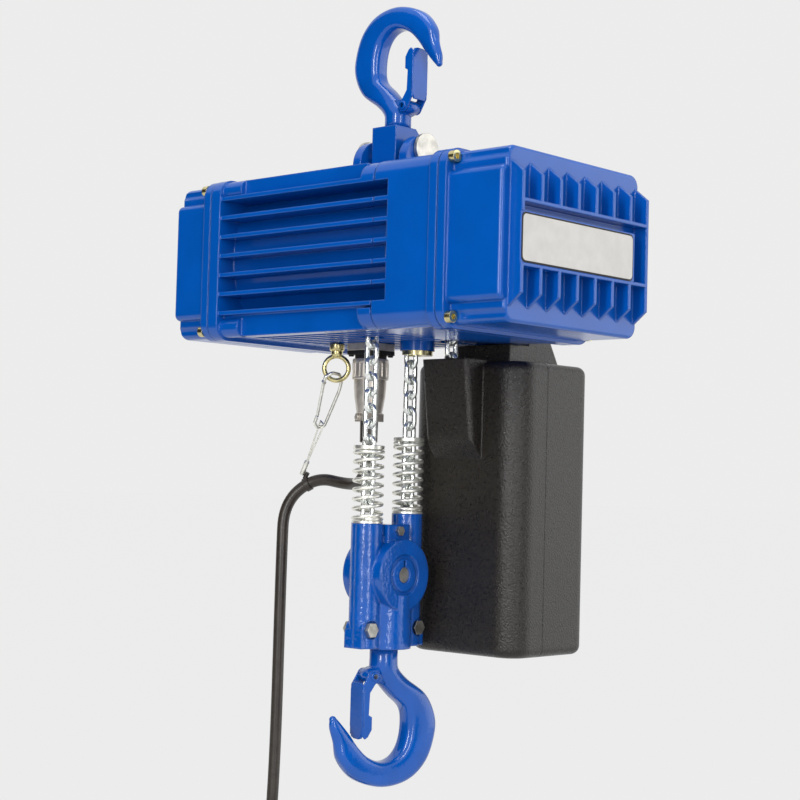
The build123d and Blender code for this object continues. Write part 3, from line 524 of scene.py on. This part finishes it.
def hook(name, node, body, place, k, neck_r, neck_ends):
    """Forged hook, k times the size: flat sides with rounded rims, thinning to the tip, on a round neck."""
    flat = [[o[0], o[1], i[0], i[1], t, ROUND] for o, i, t in HOOK_STATIONS]
    for row in flat[3:-3]:
        row[5] = FLAT_SIDED
    sides = [2 * math.pi * side / HOOK_SIDES for side in range(HOOK_SIDES)]
    columns = list(zip(*flat))
    rings = []
    for height in (neck_ends[0], 72.6 * k):
        rings.append([place @ (Vector((-neck_r * math.cos(a), neck_r * math.sin(a), height)) * MM)
                      for a in sides])
    for step in range(STATION_STEPS * (len(flat) - 1) + 1):
        station, part = divmod(step, STATION_STEPS)
        share = part / STATION_STEPS
        ox, oz, ix, iz, thick, power = (curve_through(column, station, share) for column in columns)
        middle, half = Vector((ox + ix, 0, oz + iz)) / 2, Vector((ix - ox, 0, iz - oz)) / 2
        ring = []
        for angle in sides:
            across, out = math.cos(angle), math.sin(angle)
            across = -math.copysign(abs(across) ** (2 / power), across)
            out = math.copysign(abs(out) ** (2 / power), out)
            ring.append(place @ ((middle + half * across + Vector((0, thick / 2 * out, 0))) * k * MM))
        rings.append(ring)
    bm = bmesh.new()
    skin(bm, rings)
    turned(bm, [(neck_ends[0] - 1, 7), (neck_ends[1], 7)], place)
    tip = place @ (Vector((41, 0, 31.6)) * k * MM)
    bmesh.ops.create_uvsphere(bm, u_segments=16, v_segments=10, radius=0.0026 * k,
                              matrix=Matrix.Translation(tip))
    ear = [(-7, 4.4), (-6.4, 5.2), (6.4, 5.2), (7, 4.4)]
    turned(bm, ear, place @ Matrix.Translation(Vector((LATCH_X, 0, LATCH_Z)) * k * MM), "Y", k)
    web = [(1, 56), (12, 56.4), (12, 66.6), (1, 70)]
    outline = [place @ (Vector((x, -6.4, z)) * k * MM) for x, z in web]
    slab(bm, outline, place.to_3x3() @ Vector((0, 12.8, 0)) * k * MM)
    add_piece(name, mesh_of(bm, name), "hook_paint", body, node)


def turned(bm, profile, place, axis="Z", k=1.0, sides=32, bored=False):
    """Turned part: (distance along the axis, radius) pairs in mm, k times the size. A bored part is a ring
    whose profile closes on itself; its seam is welded."""
    turn = {"Z": Matrix.Identity(4), "Y": Matrix.Rotation(-math.pi / 2, 4, "X"),
            "X": Matrix.Rotation(math.pi / 2, 4, "Y")}[axis]
    rings = []
    for along, r in profile:
        rings.append([place @ turn @ (Vector((r * math.cos(a), r * math.sin(a), along)) * k * MM)
                      for a in (2 * math.pi * side / sides for side in range(sides))])
    if bored:
        skin(bm, rings + rings[:1], capped=False)
        bmesh.ops.remove_doubles(bm, verts=bm.verts, dist=1e-7)
    else:
        skin(bm, rings)


def slab(bm, outline, depth):
    """Plate with this outline, a list of points, pushed along a vector."""
    skin(bm, [outline, [point + depth for point in outline]])


SHARP_FROM = 35


def finished_piece(bm, name, slot, body, replaced, width=0.0, angle=30):
    """Piece that is shaded smooth except across its edges. Width is how far, in mm, edges sharper than the
    angle are rounded."""
    mesh = mesh_of(bm, name)
    names = (replaced,) if replaced else ()
    piece = add_piece(name, mesh, slot, body, *names, smooth=False)
    if width:
        bevel = piece.modifiers.new("edges", "BEVEL")
        bevel.width = width * MM
        bevel.segments = 3
        bevel.limit_method = "ANGLE"
        bevel.angle_limit = math.radians(angle)
    mesh.shade_smooth()
    mesh.set_sharp_from_angle(angle=math.radians(SHARP_FROM))
    return piece


def latch(name, node, body, place, k):
    """Pressed latch: a plate behind the hook's tip and two folded sides that end in the pivot eyes."""
    def local(x, y, z):
        return place @ (Vector((x, y, z)) * k * MM)

    def way(x, y, z):
        return place.to_3x3() @ Vector((x, y, z)) * k * MM

    eye = [(LATCH_X + 5 * math.cos(a), LATCH_Z + 5 * math.sin(a))
           for a in (math.radians(20 + 20 * step) for step in range(11))]
    side = [(21.6, 20), (21.6, 55)] + eye
    side += [(11.5, 56), (15.6, 50), (16.2, 34.5), (13.5, 33), (13.5, 24), (16.6, 19), (19, 17.4)]
    bm = bmesh.new()
    for y in (-8.6, 7.2):
        slab(bm, [local(x, y, z) for x, z in side], way(0, 1.4, 0))
    plate = [(-8.6, 52), (-8.6, 26), (-6.5, 18), (-3, 17), (3, 17), (6.5, 18), (8.6, 26), (8.6, 52), (6, 57),
             (-6, 57)]
    slab(bm, [local(20.2, y, z) for y, z in plate], way(1.6, 0, 0))
    for way_y in (-1, 1):
        head = sorted([(way_y * 8.4, 3.4), (way_y * 9.3, 3.4), (way_y * 9.6, 2.6)])
        turned(bm, head, place @ Matrix.Translation(Vector((LATCH_X, 0, LATCH_Z)) * k * MM), "Y", k, 20)
    finished_piece(bm, name, "latch_paint", body, node, 0.45)


def hooks():
    """Both hooks with their latches; the load hook is a little larger."""
    hook("top_hook_forged", "top_hook", "top_hook_body", TOP_HOOK, 1.0, 10.25, (77.2, 118.5))
    hook("load_hook_forged", "load_hook", "load_hook_body", LOAD_HOOK, LOAD_HOOK_SCALE, 10.8, (94.5, 109))
    latch("top_latch_pressed", "top_latch", "top_latch_body", TOP_HOOK, 1.0)
    latch("load_latch_pressed", "load_latch", "load_latch_body", LOAD_HOOK, LOAD_HOOK_SCALE)


# ---------------------------------------------------------------- housing fittings

def rounded_outline(half_y, half_z, r, steps=6):
    """(Y, Z) points of a rectangle with rounded corners."""
    points = []
    for corner, (y, z) in enumerate(((1, 1), (-1, 1), (-1, -1), (1, -1))):
        for step in range(steps + 1):
            angle = math.pi / 2 * (corner + step / steps)
            points.append((y * (half_y - r) + r * math.cos(angle), z * (half_z - r) + r * math.sin(angle)))
    return points


# The plate sits low and to one side on the end cover; its backing stands out by PLATE_RIM all round.
PLATE_Y, PLATE_Z, PLATE_HALF_Y, PLATE_HALF_Z, PLATE_R, PLATE_RIM = -8.75, -3.5, 64.75, 17, 4, 1.2


def name_plate():
    """Blank silver plate on a black backing that shows as a thin edge."""
    for name, slot, x0, x1, inset in (("plate_backing", "gasket", 183.2, 183.5, 0),
                                      ("plate_face", "plate_silver", 183.4, 183.9, PLATE_RIM)):
        bm = bmesh.new()
        corners = rounded_outline(PLATE_HALF_Y - inset, PLATE_HALF_Z - inset, PLATE_R - inset * 0.6)
        outline = [at(x0, y + PLATE_Y, z + PLATE_Z) for y, z in corners]
        slab(bm, outline, Vector((x1 - x0, 0, 0)) * MM)
        finished_piece(bm, name, slot, "housing", "name_plate", 0.12)


GASKET_X, GASKET_STEPS, GASKET_INSIDE = 54.8, 24, 0.8
BARREL_R, BARREL_Z, BARE_HALF_Z = 69, 2.2, 46


def housing_gasket():
    """Thin gasket between the motor and gear housings, cut to the barrel where the ribs leave it bare."""
    outline = []
    for side in (1, -1):
        for step in range(GASKET_STEPS + 1):
            z = side * (-BARE_HALF_Z + 2 * BARE_HALF_Z * step / GASKET_STEPS)
            outline.append((side * math.sqrt(BARREL_R ** 2 - (z - BARREL_Z) ** 2), z))
        outline += [(side * y, side * z) for y, z in ((80, 46), (80, 52), (74, 58))]
    bm = bmesh.new()
    outer = [bm.verts.new(at(GASKET_X, y, z)) for y, z in outline]
    inner = [bm.verts.new(at(GASKET_X, y * GASKET_INSIDE, z * GASKET_INSIDE)) for y, z in outline]
    count = len(outline)
    faces = []
    for i in range(count):
        after = (i + 1) % count
        faces.append(bm.faces.new((outer[i], outer[after], inner[after], inner[i])))
    bmesh.ops.solidify(bm, geom=faces, thickness=-0.001)
    mesh = mesh_of(bm, "housing_gasket_cut")
    add_piece("housing_gasket_cut", mesh, "gasket", "housing", "housing_gasket", smooth=False)


def eye_bolt():
    """Cast eye with a flared neck and a collar under the housing."""
    bm = bmesh.new()
    turn = Matrix.Translation(at(*EYE)) @ Matrix.Rotation(math.radians(EYE_TURN), 4, "Z")
    circle = [turn @ (Vector((EYE_R * math.cos(a), 0, EYE_R * math.sin(a))) * MM)
              for a in (2 * math.pi * step / 40 for step in range(40))]
    tube(bm, circle, 0.0019, 16, closed=True)
    neck = [(7.9, 1.4), (8.6, 3.2), (9.8, 4.3), (11.4, 4.6), (13.6, 4.7), (14.2, 5.6), (15, 5.9),
            (19.1, 5.9), (19.6, 5.5)]
    turned(bm, neck, Matrix.Translation(at(*EYE)))
    finished_piece(bm, "eye_bolt_cast", "yellow_zinc", "housing", "eye_bolt")


def connector_ring():
    """Coupling ring with sixteen grips between its rims."""
    middle = Matrix.Translation(at(*CONNECTOR, 0))
    ring = [(-89.4, 13.2), (-89.4, 14.0), (-88.8, 14.4), (-87.6, 14.4), (-87.2, 13.8), (-76.4, 13.8),
            (-76, 14.4), (-73.6, 14.4), (-72.8, 13.9), (-72.8, 13.1)]
    bm = bmesh.new()
    turned(bm, ring, middle)
    for step in range(RING_GRIPS):
        turn = middle @ Matrix.Rotation(2 * math.pi / RING_GRIPS * step, 4, "Z")
        face = [turn @ (Vector((13.2, side, z)) * MM)
                for side, z in ((-1.5, -87.4), (1.5, -87.4), (1.5, -76.2), (-1.5, -76.2))]
        slab(bm, face, turn.to_3x3() @ Vector((0.0013, 0, 0)))
    finished_piece(bm, "connector_ring_grips", "connector_metal", "ring_nut", "connector_ring", 0.3, 50)


def connector_socket():
    """Square metal plate against the housing and a black flange under it, with a screw in each corner."""
    x, y = CONNECTOR
    for name, slot, low, high in (("socket_plate", "connector_metal", -66.4, -60.6),
                                  ("socket_flange", "guide_plastic", -69.6, -66.4)):
        bm = bmesh.new()
        slab(bm, [at(x + dx, y + dy, low) for dx, dy in rounded_outline(14.2, 14.2, 3)],
             Vector((0, 0, high - low)) * MM)
        if name == "socket_flange":
            for dx, dy in ((-11, -11), (11, -11), (-11, 11), (11, 11)):
                screw = Matrix.Translation(at(x + dx, y + dy, 0))
                turned(bm, [(-71, 1.8), (-70.8, 2.1), (-69, 2.1)], screw, sides=16)
            turned(bm, [(-72.5, 12.6), (-68, 12.6)], Matrix.Translation(at(x, y, 0)))
        finished_piece(bm, name, slot, "housing", "connector_socket", 0.3, 50)


def connector_shell():
    """Conical shell with a two-screw cable clamp at its foot."""
    x, y = CONNECTOR
    shell = [(-116, 10.1), (-113, 10.6), (-103, 12.2), (-95, 12.85), (-90, 12.9), (-72.8, 12.9)]
    bm = bmesh.new()
    turned(bm, shell, Matrix.Translation(at(x, y, 0)))
    clamp = [(-11, -122.6), (11, -122.6), (11, -116.4), (9, -115.2), (-9, -115.2), (-11, -116.4)]
    slab(bm, [at(x + dx, y - 5.2, z) for dx, z in clamp], Vector((0, 0.0104, 0)))
    for dx in (-8, 8):
        screw = Matrix.Translation(at(x + dx, y - 6.8, -119))
        turned(bm, [(0, 2.0), (0.4, 2.2), (1.4, 2.2), (1.6, 1.9)], screw, "Y", 1, 16)
    finished_piece(bm, "connector_shell_cast", "connector_metal", "housing", "connector_shell", 0.4, 50)


camera()
control_cable()
studio()
finish_nodes()
chains()
springs()
hooks()
housing_gasket()
name_plate()
eye_bolt()
connector_ring()
connector_socket()
connector_shell()
